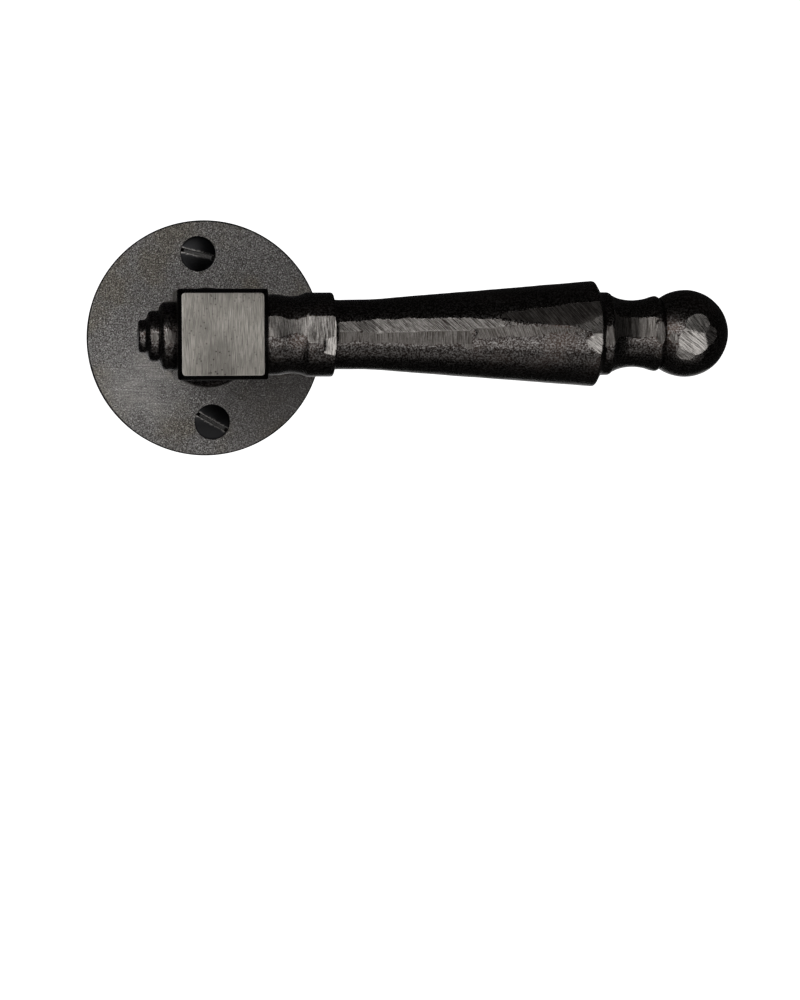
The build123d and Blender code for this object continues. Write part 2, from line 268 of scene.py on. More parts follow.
# Belt strokes: long fine lines that a belt or file leaves, turned about the door's normal.
belt_strokes, enter, leave = new_group(
    "belt strokes", [("Place", "Vector"), ("Turn", "Float"), ("Width", "Float"), ("Length", "Float")],
    [("Lines", "Float"), ("Scratches", "Float")])
turned_place = node(belt_strokes, "VectorRotate",
                    {"Vector": enter.outputs["Place"], "Axis": (0, 1, 0), "Angle": enter.outputs["Turn"]},
                    rotation_type="AXIS_ANGLE").outputs[0]
across = maths(belt_strokes, "DIVIDE", 1.0, enter.outputs["Width"])
down = maths(belt_strokes, "DIVIDE", 1.0, enter.outputs["Length"])
stretch = node(belt_strokes, "CombineXYZ", {"X": across, "Y": down, "Z": down}).outputs[0]
stretched = node(belt_strokes, "VectorMath", {0: turned_place, 1: stretch}, operation="MULTIPLY").outputs[0]
lines = node(belt_strokes, "TexNoise", {"Vector": stretched, "Scale": 1.0, "Detail": 3.0, "Roughness": 0.65})
wide = node(belt_strokes, "VectorMath", {0: stretched, 1: (0.31, 0.7, 0.7)}, operation="MULTIPLY").outputs[0]
deep = node(belt_strokes, "TexNoise", {"Vector": wide, "Scale": 1.0, "Detail": 1.0})
belt_strokes.links.new(lines.outputs["Fac"], leave.inputs["Lines"])
belt_strokes.links.new(between(belt_strokes, deep.outputs["Fac"], 0.6, 0.72), leave.inputs["Scratches"])

# The rose itself
bore = rose_bore / mm
recess, recess_depth = (value / mm for value in plate_recess)
dish, dish_depth = (value / mm for value in dish_recess)
rim = rose_radius / mm
front = rose_front / mm
rose = lathe("rose_casting", rounded(
    (dish_depth, bore, 0.2), (front, bore, 0.4), (front, (bore + rim) / 2, 0),
    (front, rim, rose_rim_round / mm), (0, rim, 0.3), (0, recess, 0.2), (recess_depth, recess, 0.2),
    (recess_depth, dish, 0.2), (dish_depth, dish, 0.3)), turns=192, ring=True)
for axis in screw_axes:
    depth = (mouth_radius - hole_radius) / mm
    cut(rose, lathe("countersink", rounded(
        (-2, 0, 0), (-2, hole_radius / mm, 0), (front - depth, hole_radius / mm, 0),
        (front + 1, mouth_radius / mm + 1, 0), (front + 1, 0, 0)), turns=64, centre=axis))
round_edges(rose, mouth_round, sharper_than=35)

rose_grey = (0.235, 0.229, 0.224, 1)
rose_warm = (0.228, 0.210, 0.178, 1)
rose_dark = (0.055, 0.050, 0.047, 1)
rose_light = (0.58, 0.56, 0.535, 1)
rose_black = (0.008, 0.007, 0.007, 1)
rose_iron, tree, surface, where = new_material("rose_iron")
skin = use_group(tree, sand_grain, Place=where, Grain_Size=0.33 * mm, Lump_Size=2.2 * mm)
strokes = use_group(tree, belt_strokes, Place=where, Turn=math.radians(90), Width=0.16 * mm,
                    Length=7.0 * mm)
spread = node(tree, "SeparateXYZ", {0: where})
radial = node(tree, "VectorMath", {0: node(tree, "CombineXYZ", {
    "X": spread.outputs["X"], "Y": spread.outputs["Z"]}).outputs[0]}, operation="LENGTH").outputs["Value"]
on_face = between(tree, spread.outputs["Y"], -rose_front + 0.10 * mm, -rose_front + 0.03 * mm)
# dark pits between bright grains, over patches of grey and warmer grey
speck = between(tree, skin.outputs["Grain"], 0.38, 0.64)
tint = blend_colour(tree, between(tree, skin.outputs["Patches"], 0.45, 0.6), rose_grey, rose_warm)
colour = blend_colour(tree, speck, rose_dark, tint)
colour = blend_colour(tree, between(tree, skin.outputs["Grain"], 0.6, 0.74), colour, rose_light)
# a spot low on the left that the belt has brushed, and a painted shadow low on the right, below the lever
brushed_at = node(tree, "VectorMath", {0: where, 1: (-15 * mm, -rose_front, -11 * mm)},
                  operation="SUBTRACT").outputs[0]
brushed_far = node(tree, "VectorMath", {0: brushed_at}, operation="LENGTH").outputs["Value"]
brushed = maths(tree, "MULTIPLY", between(tree, brushed_far, 15 * mm, 3 * mm),
                between(tree, skin.outputs["Patches"], 0.3, 0.6))
rubbed = blend_colour(tree, between(tree, strokes.outputs["Lines"], 0.36, 0.66), rose_grey, rose_light)
colour = blend_colour(tree, maths(tree, "MULTIPLY", brushed, 0.5), colour, rubbed)
# painted shadow: the rose is darkened low on the right, where the lever would shade it
painted_shadow_at = node(tree, "VectorMath", {0: where, 1: (20 * mm, -rose_front, -16 * mm)},
                 operation="SUBTRACT").outputs[0]
painted_shadow_far = node(tree, "VectorMath", {0: painted_shadow_at}, operation="LENGTH").outputs["Value"]
painted_shadow = maths(tree, "MULTIPLY", between(tree, painted_shadow_far, 25 * mm, 5 * mm), 0.5)
colour = blend_colour(tree, painted_shadow, colour, rose_dark)
# blackened pits, sides and parts of the rim
colour = blend_colour(tree, maths(tree, "MULTIPLY", skin.outputs["Pits"], 0.85), colour, rose_black)
colour = blend_colour(tree, on_face, blend_colour(tree, speck, rose_black, rose_dark), colour)
rim_wear = between(tree, radial, rose_radius - 0.5 * mm, rose_radius - 0.2 * mm)
rim_dark = maths(tree, "MULTIPLY", rim_wear, between(tree, skin.outputs["Patches"], 0.42, 0.5))
colour = blend_colour(tree, maths(tree, "MULTIPLY", rim_dark, 0.8), colour, rose_black)
tree.links.new(colour, surface.inputs["Base Color"])
rough = maths(tree, "ADD", maths(tree, "MULTIPLY", skin.outputs["Patches"], 0.25), 0.34)
tree.links.new(rough, surface.inputs["Roughness"])
surface.inputs["Metallic"].default_value = 1.0
height = maths(tree, "ADD", skin.outputs["Height"], maths(tree, "MULTIPLY", strokes.outputs["Lines"],
                                                          maths(tree, "MULTIPLY", brushed, 0.5)))
bump = node(tree, "Bump", {"Height": height, "Strength": 0.35, "Distance": 0.12 * mm})
tree.links.new(bump.outputs[0], surface.inputs["Normal"])
rose.data.materials.append(rose_iron)
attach(rose, "rose_fixed")
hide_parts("rose")

# ---------------------------------------------------------------------------------------------
# Wood screws. Blackened steel, raised countersunk heads with a single slot worn bright by the
# screwdriver, a plain shank through the rose and a coarse thread in the door.
screw_head = 4.4          # radii and heights in millimetres, heights off the door
screw_shank = 2.25
screw_root = 1.35
screw_rim = front - (mouth_radius / mm - screw_head)
screw_dome = 0.5
screw_tip = screw_rim - 30.0
slot_width = 1.0
slot_depth = 1.25
slot_turns = (math.radians(14.5), math.radians(30))
thread_crest = 1.9
thread_pitch = 1.8
thread_start = -0.4


def bar(name, low, high):
    """Square block between two corners."""
    shape = bmesh.new()
    bmesh.ops.create_cube(shape, size=1)
    low, high = Vector(low) * mm, Vector(high) * mm
    bmesh.ops.scale(shape, vec=high - low, verts=shape.verts)
    bmesh.ops.translate(shape, vec=(low + high) / 2, verts=shape.verts)
    return piece_from(name, shape)


def screw_thread(name, root, crest, pitch, start, tip, centre):
    """Threaded core: a turned bar whose radius follows the thread, drawn in to a point."""
    turns, rows_per_pitch, taper = 28, 9, 6.0
    rows = int((start - tip) / pitch * rows_per_pitch)
    shape = bmesh.new()
    rings = []
    for row in range(rows + 1):
        along = start + (tip - start) * row / rows
        ring = []
        for i in range(turns):
            phase = (row / rows_per_pitch + i / turns) % 1.0
            ridge = max(0.0, 1 - abs(phase - 0.5) / 0.3)
            fade = min(1.0, (start - along) / pitch)
            point = min(1.0, (along - tip) / taper)
            radius = (root * point + (crest - root) * ridge * fade * point ** 0.4) + 0.02
            turn = 2 * math.pi * i / turns
            ring.append(shape.verts.new(about_door(along * mm, radius * mm, turn) + centre))
        rings.append(ring)
    for one, other in zip(rings, rings[1:]):
        for i in range(turns):
            shape.faces.new((one[i], one[(i + 1) % turns], other[(i + 1) % turns], other[i]))
    for end in (rings[0], rings[-1]):
        shape.faces.new(end)
    return piece_from(name, shape)


black_steel, tree, surface, where = new_material("screw_steel")
screw_black = (0.013, 0.013, 0.0135, 1)
worn_steel = (0.17, 0.163, 0.155, 1)
skin = use_group(tree, sand_grain, Place=where, Grain_Size=0.25 * mm, Lump_Size=1.5 * mm)
worn = node(tree, "Attribute", attribute_name="worn").outputs["Fac"]
worn = maths(tree, "MULTIPLY", worn, between(tree, skin.outputs["Grain"], 0.3, 0.55))
tree.links.new(blend_colour(tree, worn, screw_black, worn_steel), surface.inputs["Base Color"])
surface.inputs["Metallic"].default_value = 1.0
tree.links.new(maths(tree, "ADD", maths(tree, "MULTIPLY", skin.outputs["Patches"], 0.2), 0.2),
               surface.inputs["Roughness"])
bump = node(tree, "Bump", {"Height": skin.outputs["Height"], "Strength": 0.15, "Distance": 0.05 * mm})
tree.links.new(bump.outputs[0], surface.inputs["Normal"])


def paint(piece, label, values):
    """Store one number for each point of a piece, for its material to read."""
    made = piece.data.attributes.new(label, "FLOAT", "POINT")
    made.data.foreach_set("value", np.asarray(values, np.float32))


def points_of(piece):
    """The places of a piece's points, as rows of x, y, z."""
    places = np.empty(len(piece.data.vertices) * 3, np.float32)
    piece.data.vertices.foreach_get("co", places)
    return places.reshape(-1, 3).astype(float)


for label, axis, turn in zip(("upper", "lower"), screw_axes, slot_turns):
    dome = [(screw_rim + screw_dome * (1 - (i / 8) ** 2), screw_head * i / 8) for i in range(9)]
    head = lathe("wood_screw_head_" + label, [(a * mm, r * mm) for a, r in dome] + rounded(
        (screw_rim - screw_head + screw_shank, screw_shank, 0.4), (thread_start, screw_shank, 0.2),
        (thread_start, 0, 0)), turns=64, centre=axis)
    slot = bar("slot", (-6, -9, -slot_width / 2), (6, -(screw_rim + screw_dome - slot_depth), slot_width / 2))
    slot.data.transform(Matrix.Translation(axis) @ Matrix.Rotation(turn, 4, "Y"))
    cut(head, slot)
    round_edges(head, 0.15 * mm, sharper_than=40, segments=3)
    thread = screw_thread("wood_screw_thread_" + label, screw_root, thread_crest, thread_pitch,
                          thread_start, screw_tip, axis)
    smooth(thread)
    places = points_of(head)
    floor = -(screw_rim + screw_dome - slot_depth) * mm
    across = ((places[:, 0] - axis.x) * math.sin(turn) + (places[:, 2] - axis.z) * math.cos(turn)) / mm
    lips = (np.abs(np.abs(across) - slot_width / 2) < 0.2) & (-places[:, 1] > -floor + 0.3 * mm)
    paint(head, "worn", np.where(lips, 0.9, np.where(np.abs(places[:, 1] - floor) < 0.12 * mm, 0.25, 0)))
    for piece in (head, thread):
        piece.data.materials.append(black_steel)
        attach(piece, "rose_fixed")
        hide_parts("wood_screw_" + label)

# ---------------------------------------------------------------------------------------------
# Base plate. Pressed from zinc-plated steel sheet and dished forward round the bearing. It lies in
# the recess behind the rose, carries the bush and the stop pins, and shares the rose's screws.
plate_radius = 25.0
plate_thickness = 1.0
dish_inner = 14.3
floor_back = 3.2
floor_front = 4.2
plate_hole = 2.35
bush_outer = 8.5
plate = lathe("base_plate_pressing", rounded(
    (floor_back, bush_outer, 0.1), (floor_front, bush_outer, 0.1), (floor_front, dish_inner + 1, 0.9),
    (plate_thickness, dish_inner + 1, 0.2), (plate_thickness, plate_radius, 0.2), (0, plate_radius, 0.3),
    (0, dish_inner, 0.6), (floor_back, dish_inner, 0.4)), turns=128, ring=True)
for axis in screw_axes:
    cut(plate, lathe("hole", rounded((-1, 0, 0), (-1, plate_hole, 0), (2, plate_hole, 0), (2, 0, 0)),
                     turns=48, centre=axis))
round_edges(plate, 0.12 * mm)


def plain_steel(name, colour, roughness, tint=0.25, grain_size=0.3, bump_depth=0.03, stroke_turn=None):
    """Metal with slight mottling, fine draw lines or grain, and uneven roughness."""
    material, tree, surface, where = new_material(name)
    skin = use_group(tree, sand_grain, Place=where, Grain_Size=grain_size * mm, Lump_Size=3 * mm)
    dull = tuple(value * (1 - tint) for value in colour)
    shade = blend_colour(tree, between(tree, skin.outputs["Patches"], 0.35, 0.65), (*dull, 1), (*colour, 1))
    shade = blend_colour(tree, maths(tree, "MULTIPLY", skin.outputs["Pits"], 0.5), shade,
                         (*(value * 0.3 for value in colour), 1))
    height = skin.outputs["Height"]
    if stroke_turn is not None:
        strokes = use_group(tree, belt_strokes, Place=where, Turn=math.radians(stroke_turn),
                            Width=0.12 * mm, Length=9 * mm)
        height = strokes.outputs["Lines"]
    tree.links.new(shade, surface.inputs["Base Color"])
    rough = maths(tree, "ADD", maths(tree, "MULTIPLY", skin.outputs["Grain"], 0.3), roughness - 0.15)
    tree.links.new(rough, surface.inputs["Roughness"])
    surface.inputs["Metallic"].default_value = 1.0
    bump = node(tree, "Bump", {"Height": height, "Strength": 0.3, "Distance": bump_depth * mm})
    tree.links.new(bump.outputs[0], surface.inputs["Normal"])
    return material


plate.data.materials.append(plain_steel("plate_steel", (0.55, 0.55, 0.52), 0.36, tint=0.2, grain_size=0.6))
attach(plate, "rose_fixed")
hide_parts("base_plate")

# ---------------------------------------------------------------------------------------------
# Bush. Sintered bronze, pushed through the base plate from the front as far as its flange. The
# lever's spigot turns in it, and the return spring's back leg sits in a slot in its flange.
bush_bore = 7.55
bush_front = 7.95
flange_radius = 10.7
flange_front = 5.0
leg_slot = 0.95           # half width of the slot for the spring's back leg
bush = lathe("bush_bronze", rounded(
    (floor_back, bush_bore, 0.2), (floor_back, bush_outer, 0.15), (floor_front, bush_outer, 0),
    (floor_front, flange_radius, 0.15), (flange_front, flange_radius, 0.15), (flange_front, bush_outer, 0),
    (bush_front, bush_outer, 0.2), (bush_front, bush_bore, 0.2)), turns=96, ring=True)
slot = bar("leg slot", (-leg_slot, -6, -12), (leg_slot, -floor_front - 0.01, -8.75))
cut(bush, slot)
round_edges(bush, 0.06 * mm)
bush.data.materials.append(plain_steel("bush_bronze", (0.48, 0.30, 0.13), 0.42, tint=0.3, grain_size=0.2,
                                       bump_depth=0.02))
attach(bush, "rose_fixed")
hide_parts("bush")

# ---------------------------------------------------------------------------------------------
# Stop pins. Two turned steel pins riveted in the base plate, which the stop washer's lobe meets
# at either end of the lever's turn. Their CAD shape is right and stays.
bright_steel = plain_steel("bright_steel", (0.50, 0.49, 0.47), 0.34, tint=0.15, stroke_turn=0)
for label in ("stop_pin_rest", "stop_pin_down"):
    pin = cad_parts[label]
    pin.data.materials.clear()
    pin.data.materials.append(bright_steel)

# ---------------------------------------------------------------------------------------------
# Lever. Neck, square head, finial, grip and ball are one sand casting in iron. Its mould line
# is ground off along the front, the head is squared on a belt, and the whole is blackened.
lever_height = 61.5
grip_root = 8.25                # radii of the grip: at its start, and at both ends of its taper
grip_near = 8.3
grip_far = 12.65
taper_x = (35.3, 89.2)


def along_grip(along, radius, turn):
    """Place along the grip, round its long axis."""
    return Vector((along, radius * math.cos(turn) - lever_height * mm, radius * math.sin(turn)))


def through(*points, steps=6):
    """Smooth outline through (along, radius) points, in millimetres."""
    ends = [Vector(points[0]) * 2 - Vector(points[1]), *map(Vector, points),
            Vector(points[-1]) * 2 - Vector(points[-2])]
    outline = []
    for a, b, c, d in zip(ends, ends[1:], ends[2:], ends[3:]):
        for step in range(steps):
            t = step / steps
            outline.append((b * 2 + (c - a) * t + (a * 2 - b * 5 + c * 4 - d) * t ** 2
                            + (b * 3 - a - c * 3 + d) * t ** 3) / 2)
    return [point * mm for point in outline + [ends[-2]]]


def filled(outline, step):
    """Outline with points added, so that its gaps are at most step millimetres."""
    points = [Vector(outline[0])]
    for one, other in zip(outline[1:], outline[2:]):
        one, other = Vector(one), Vector(other)
        count = max(1, math.ceil((other - one).length / (step * mm)))
        points += [one.lerp(other, i / count) for i in range(count)]
    return points + [Vector(outline[-1])]


def cast_skin(piece, seed):
    """Give a casting the slight waves of a hand-rammed mould."""
    places = points_of(piece)
    normals = np.empty(places.size, np.float32)
    piece.data.vertices.foreach_get("normal", normals)
    shift = Vector((seed, 0, 0))
    waves = [0.055 * noise.noise(Vector(place) / (7 * mm) + shift)
             + 0.030 * noise.noise(Vector(place) / (2.6 * mm) + shift) for place in places]
    places += normals.reshape(-1, 3) * (np.array(waves)[:, None] - 0.03) * mm
    return places


def put_back(piece, places, **labels):
    """Give a piece its new places and its numbers for the material, and shade it smooth."""
    piece.data.vertices.foreach_set("co", places.astype(np.float32).ravel())
    for label, values in labels.items():
        paint(piece, label, values)
    smooth(piece)
    piece.data.update()


# Grip, ring, collar and ball, turned in the pattern as one length
grip_outline = rounded((8, 0, 0), (8, 9.55, 0), (13.2, 9.6, 1.0), (14.4, 9.45, 0))[1:-1]
grip_outline += through((14.4, 9.42), (15.6, 9.22), (17.2, 9.15), (18.6, 9.3), (19.5, 9.6), steps=4)
grip_outline += rounded((19.6, 9.65, 0), (20.2, 10.0, 0.5), (26.6, 10.0, 0.6), (26.75, 8.3, 0.25),
                        (28, grip_root, 0), (taper_x[0], grip_near, 3), (taper_x[1], grip_far, 0.5),
                        (90.7, 9.95, 0.3), (92.9, 9.9, 0.4), (93.6, 9.3, 0))[:-1]
grip_outline += through((93.6, 9.25), (95.2, 8.55), (97.0, 8.15), (99.2, 8.02), (101.5, 8.3), (103.2, 8.8))
grip_outline += rounded((103.3, 8.83, 0), (104.4, 9.08, 0.4), (105.0, 8.8, 0.2), (105.5, 8.3, 0.2),
                        (106, 8.6, 0))[:-1]
ball_centre = 111.78
ball_radius = 10.5
grip_outline += [Vector((ball_centre + ball_radius * math.cos(turn), ball_radius * math.sin(turn))) * mm
                 for turn in np.linspace(math.radians(127), 0, 44)]
grip = lathe("lever_grip", [Vector((8 * mm, 0))] + filled(grip_outline, 0.38), along_grip, turns=240)
places = cast_skin(grip, 3)


def grind(start, end, tilt, bed, turn, shine_and_painted_light=0.5, side=0.0, middle=0.0, waver=0.35, fray=5.0):
    """Take the casting down to one belt pass between two x.

    tilt and side point the pass, in degrees below the front and towards the ball's end. bed is its
    distance from the grip's axis (or from middle) at places along x. turn leans its strokes, and
    shine is how bright it leaves the iron: partly the pass's own finish and partly painted light,
    set for how brightly each facet catches the lights.
    """
    x, y, z = places[:, 0] / mm - middle, places[:, 1] / mm + lever_height, places[:, 2] / mm
    lean, yaw = math.radians(tilt), math.radians(side)
    normal = np.array([math.sin(yaw), -math.cos(yaw) * math.cos(lean), -math.cos(yaw) * math.sin(lean)])
    reach = x * normal[0] * (side != 0) + y * normal[1] + z * normal[2]
    over = reach - np.interp(x + middle, *zip(*bed)) + unevenness * waver
    ragged = x + middle + unevenness * fray
    along = (ragged > start) & (ragged < end)
    best = along & (over / 0.1 > ground)
    ground[best] = np.clip(over[best] / 0.1, -1, 1)
    strokes[best] = math.radians(turn)
    gloss[best] = shine_and_painted_light
    hit = along & (over > 0)
    places[hit] -= over[hit, None] * normal * mm


def fresh_marks():
    """Empty belt marks for the places of a casting, and the unevenness of the hand that grinds."""
    uneven = [0.12 * noise.noise(Vector(place) / (5 * mm)) + 0.07 * noise.noise(Vector(place) / (1.6 * mm))
              for place in places]
    return np.full(len(places), -1.0), np.zeros(len(places)), np.zeros(len(places)), np.array(uneven)


def grip_radius(along):
    """Radius of the grip where it tapers."""
    return grip_near + (grip_far - grip_near) * (along - taper_x[0]) / (taper_x[1] - taper_x[0])


ground, strokes, gloss, unevenness = fresh_marks()
# the shine of each pass is partly its finish and partly painted light, set for how brightly each facet
# catches the lights
grind(10, 20.2, -11, ((10.6, 9.25), (13.5, 9.2), (16.5, 8.95), (18.5, 9.0), (19.8, 9.4)), 3, shine_and_painted_light=0.62)
grind(19.6, 26.5, -6, ((19.7, 9.4), (27, 9.45)), 2, shine_and_painted_light=0.85, fray=0.5)
grind(23.7, 26.5, 11, ((23.6, 9.6), (27, 9.4)), -6, shine_and_painted_light=2.0, fray=1.5)
grind(60, 90.2, -22, ((60, grip_radius(60) + 0.05), (90, grip_far - 0.42)), 40, shine_and_painted_light=0.25)
grind(27.2, 77, -12, ((27, 8.13), (36, 8.16), (62, grip_radius(62) - 0.1265),
                      (76, grip_radius(76) + 0.0435)), 48, shine_and_painted_light=0.68)
grind(27.2, 58.6, 5.4, ((27, 8.07), (36, 8.18), (60, grip_radius(60) - 0.1965)), 2, shine_and_painted_light=0.27, fray=1)
grind(55, 58.6, 13, ((55, grip_radius(55) + 0.0042), (59, grip_radius(59) - 0.1765)), 4, shine_and_painted_light=0.32,
      fray=1)
grind(59.5, 92, -3, ((59.5, grip_radius(59.5) - 0.1565), (87, grip_far - 0.2)), 20, shine_and_painted_light=0.33)
grind(83, 92, -16, ((84, grip_far - 0.68), (90, grip_far - 0.6)), 46, shine_and_painted_light=0.8)
grind(84, 92, 10, ((84.5, grip_far - 0.36), (87, grip_far - 0.33), (89.2, grip_far - 0.42),
                   (92, grip_far - 0.9)), 52, shine_and_painted_light=1.3)
grind(90.6, 93.3, 4, ((89, 9.66), (93, 9.66)), 10, shine_and_painted_light=0.33)
grind(93, 103, -10, ((93, 9.0), (95.2, 8.2), (97, 7.75), (99.2, 7.6), (101.5, 7.9), (103, 8.4)), 0,
      shine_and_painted_light=0.32)
grind(103, 105.2, 0, ((103, 8.55), (105.2, 8.65)), -4, shine_and_painted_light=0.42)
# ball facets: their shine is partly finish and partly painted light
for side, tilt, spread, turn, shine_and_painted_light in ((5, -8, 3.3, 38, 1.6), (21, 3, 2.6, 62, 1.0), (-9, 27, 2.3, 55, 0.9),
                                        (-27, 5, 1.6, 8, 0.6), (0.5, 10, 3.8, 52, 1.7)):
    depth = math.sqrt(ball_radius ** 2 - spread ** 2)
    grind(105.6, 122.6, tilt, ((105, depth), (123, depth)), turn, shine_and_painted_light, side=side, middle=ball_centre,
          waver=0.8, fray=0)
put_back(grip, places, ground=ground, strokes=strokes, gloss=gloss)

# Neck, with the pocket that covers the spring
neck_outline = rounded((14.04, 0, 0), (14.04, 10.9, 0.4), (6.3, 10.9, 0.3), (6.3, 12.65, 0.4),
                       (15.2, 12.65, 0.6), (16.4, 12.35, 0.4), (17.2, 11.6, 0))[1:-1]
neck_outline += through((17.2, 11.5), (18.6, 10.4), (20.6, 9.8), (22.2, 9.55), (25.8, 9.9), (29.3, 10.4),
                        (33.2, 10.05), (36.2, 9.3), (38.4, 8.8), (40.0, 8.7), (42.2, 9.05), (44.4, 9.8),
                        (46, 10.9))
neck_outline = [Vector((14.04 * mm, 0))] + filled(neck_outline + [Vector((47, 0)) * mm], 0.4)
neck = lathe("lever_neck", neck_outline, turns=200)
places = cast_skin(neck, 11)
put_back(neck, places, ground=np.full(len(places), -1.0))

# Finial, three shrinking discs on the back of the head, touched by the belt at the front
finial = lathe("lever_finial", [Vector((-8 * mm, 0))] + filled(rounded(
    (-8, 0, 0), (-8, 8.1, 0), (-13.6, 8.1, 0.9), (-14.4, 6.8, 0.3), (-14.6, 6.05, 0.2), (-16.8, 6.0, 0.9),
    (-17.4, 4.3, 0.3), (-17.7, 4.0, 0.2), (-19.3, 3.8, 0.7), (-19.5, 0, 0))[1:], 0.3), along_grip, turns=144,
    centre=Vector((0, 0, -0.25)) * mm)
places = cast_skin(finial, 19)
ground, strokes, gloss, unevenness = fresh_marks()
grind(-14.0, -10.6, 4, ((-14.2, 7.9), (-10.6, 7.95)), 4, shine_and_painted_light=0.45)
grind(-17.0, -14.9, 4, ((-17, 5.85), (-15, 5.9)), 0, shine_and_painted_light=0.3)
put_back(finial, places, ground=ground, strokes=strokes, gloss=gloss)

# Squared head: its round flare breaks out through the flats in four arcs
head_half = 10.6
head_front = 73.0
bevel_side = 1.0
bevel_back = 71.1
flare_back = 44.4
flare_root = 9.8
flare_slope = 1.4
head_turns = 160


def squared(turn, half, corner):
    """Reach of a square with rounded corners, in one direction from its middle."""
    narrow, wide = sorted((abs(math.cos(turn)), abs(math.sin(turn))))
    inner = half - corner
    if narrow * half / wide <= inner:
        return half / wide
    pull = inner * (wide + narrow)
    return pull + math.sqrt(pull * pull - 2 * inner * inner + corner * corner)


shape = bmesh.new()
rows = []
for row in range(4):
    ring = []
    for i in range(head_turns):
        turn = 2 * math.pi * i / head_turns
        reach = squared(turn, head_half, 0.5 if row < 3 else 0.9)
        along, radius = ((flare_back, flare_root), (flare_back + (reach - flare_root) * flare_slope, reach),
                         (bevel_back, reach), (head_front, reach * (1 - bevel_side / head_half)))[row]
        ring.append(shape.verts.new(about_door(along * mm, radius * mm, turn)))
    rows.append(ring)
for one, other in zip(rows, rows[1:]):
    for i in range(head_turns):
        shape.faces.new((one[i], one[(i + 1) % head_turns], other[(i + 1) % head_turns], other[i]))
shape.faces.new(rows[0])
shape.faces.new(rows[-1])
head = piece_from("lever_head", shape)
round_edges(head, 0.22 * mm, sharper_than=18)
places = points_of(head)
off_door = -places[:, 1] / mm
reach = np.abs(places[:, [0, 2]]).max(1) / mm
paint(head, "front", off_door > head_front - 0.05)
paint(head, "flat", (reach > head_half - 0.02) & (off_door < bevel_back + 0.05))
paint(head, "bevel", (off_door > bevel_back) & (off_door < head_front - 0.05))
# a thin band just inside the edges of the front face, which carries a painted highlight
edge = np.minimum(np.abs(reach - head_half), np.abs(off_door - head_front))
inside = (off_door < head_front - 0.01) & (reach < head_half - 0.005)
paint(head, "edge", np.clip(1 - edge / 0.12, 0, 1) * inside)

# The turned spigot behind the neck, which runs in the bush, with its groove and its two flats
spigot_radius = 7.5
spigot_back = 0.1
groove_back = 0.8
groove_front = 1.9
groove_radius = 7.15
shoulder = 8.0
shoulder_radius = 8.4
socket_half = 4.1
socket_end = -36
grub_height = 24.0
grub_bore_radius = 3.0


def along_grub(along, radius, turn):
    """Place along the grub screw."""
    return Vector((along, radius * math.cos(turn) - grub_height * mm, radius * math.sin(turn)))


spigot = lathe("lever_spigot", rounded(
    (spigot_back, 0, 0), (spigot_back, spigot_radius, 0.4), (groove_back, spigot_radius, 0.1),
    (groove_back, groove_radius, 0.1), (groove_front, groove_radius, 0.1),
    (groove_front, spigot_radius, 0.1), (shoulder, spigot_radius, 0.1), (shoulder, shoulder_radius, 0.2),
    (20, shoulder_radius, 0), (20, 0, 0)), turns=128)
spigot_flats = [bar("flat", (-9, -3.15, z), (9, 1, z + 3)) for z in (6.7, -9.7)]
cut(spigot, *spigot_flats)
cut(spigot, bar("socket", (-socket_half, socket_end, -socket_half), (socket_half, 1, socket_half)))
cut(neck, bar("socket", (-socket_half, socket_end, -socket_half), (socket_half, -8, socket_half)))
grub_bore = lathe("grub_bore", rounded((-14, 0, 0), (-14, grub_bore_radius, 0), (-3.5, grub_bore_radius, 0),
                                       (-3.5, 0, 0)), along_grub, turns=48)
cut(neck, grub_bore)
round_edges(spigot, 0.1 * mm)

# Iron finishes: sandy blackened skin, and brighter metal wherever the belt has been
iron_black = (0.024, 0.0175, 0.0150, 1)
iron_brown = (0.050, 0.034, 0.027, 1)
iron_sand = (0.29, 0.276, 0.268, 1)
iron_grey = (0.13, 0.124, 0.118, 1)
belt_dark = (0.036, 0.030, 0.026, 1)
belt_bright = (0.62, 0.59, 0.56, 1)
pit_black = (0.006, 0.005, 0.004, 1)
bevel_painted_shade = (0.008, 0.007, 0.006, 1)
polish_dark = (0.14, 0.132, 0.119, 1)
polish_bright = (0.52, 0.490, 0.442, 1)
polish_cloud = (0.09, 0.084, 0.076, 1)
polish_speck = (0.03, 0.026, 0.022, 1)

lever_iron, tree, surface, where = new_material("lever_iron")
skin = use_group(tree, sand_grain, Place=where, Grain_Size=0.40 * mm, Lump_Size=2.0 * mm)
marks = {label: node(tree, "Attribute", attribute_name=label).outputs["Fac"]
         for label in ("ground", "strokes", "gloss", "front", "flat", "bevel", "edge")}
strokes = use_group(tree, belt_strokes, Place=where, Turn=marks["strokes"], Width=0.115 * mm,
                    Length=3.5 * mm)
# the mould's sandy skin, brown in patches and grey on the tops of the grain
brown = between(tree, skin.outputs["Patches"], 0.50, 0.66)
shade = blend_colour(tree, brown, iron_black, iron_brown)
shade = blend_colour(tree, between(tree, skin.outputs["Grain"], 0.38, 0.78), shade, iron_sand)
shade = blend_colour(tree, maths(tree, "MULTIPLY", skin.outputs["Pits"], 0.6), shade, pit_black)
# flats of the head, rubbed on a belt
tops = between(tree, skin.outputs["Grain"], 0.36, 0.62)
shade = blend_colour(tree, marks["flat"], shade, blend_colour(tree, tops, iron_black, iron_grey))
# belt marks, ragged at their edges where the grain is deeper
ragged = maths(tree, "MULTIPLY_ADD", skin.outputs["Grain"], 1.0, marks["ground"])
broken = between(tree, ragged, 0.45, 0.85)
tone = maths(tree, "MULTIPLY_ADD", between(tree, strokes.outputs["Lines"], 0.38, 0.64), 0.97, 0.05)
tone = maths(tree, "MULTIPLY", tone, maths(tree, "MULTIPLY_ADD", skin.outputs["Grain"], 1.5, 0.2))
tone = maths(tree, "MULTIPLY_ADD", strokes.outputs["Scratches"], -0.4, tone)
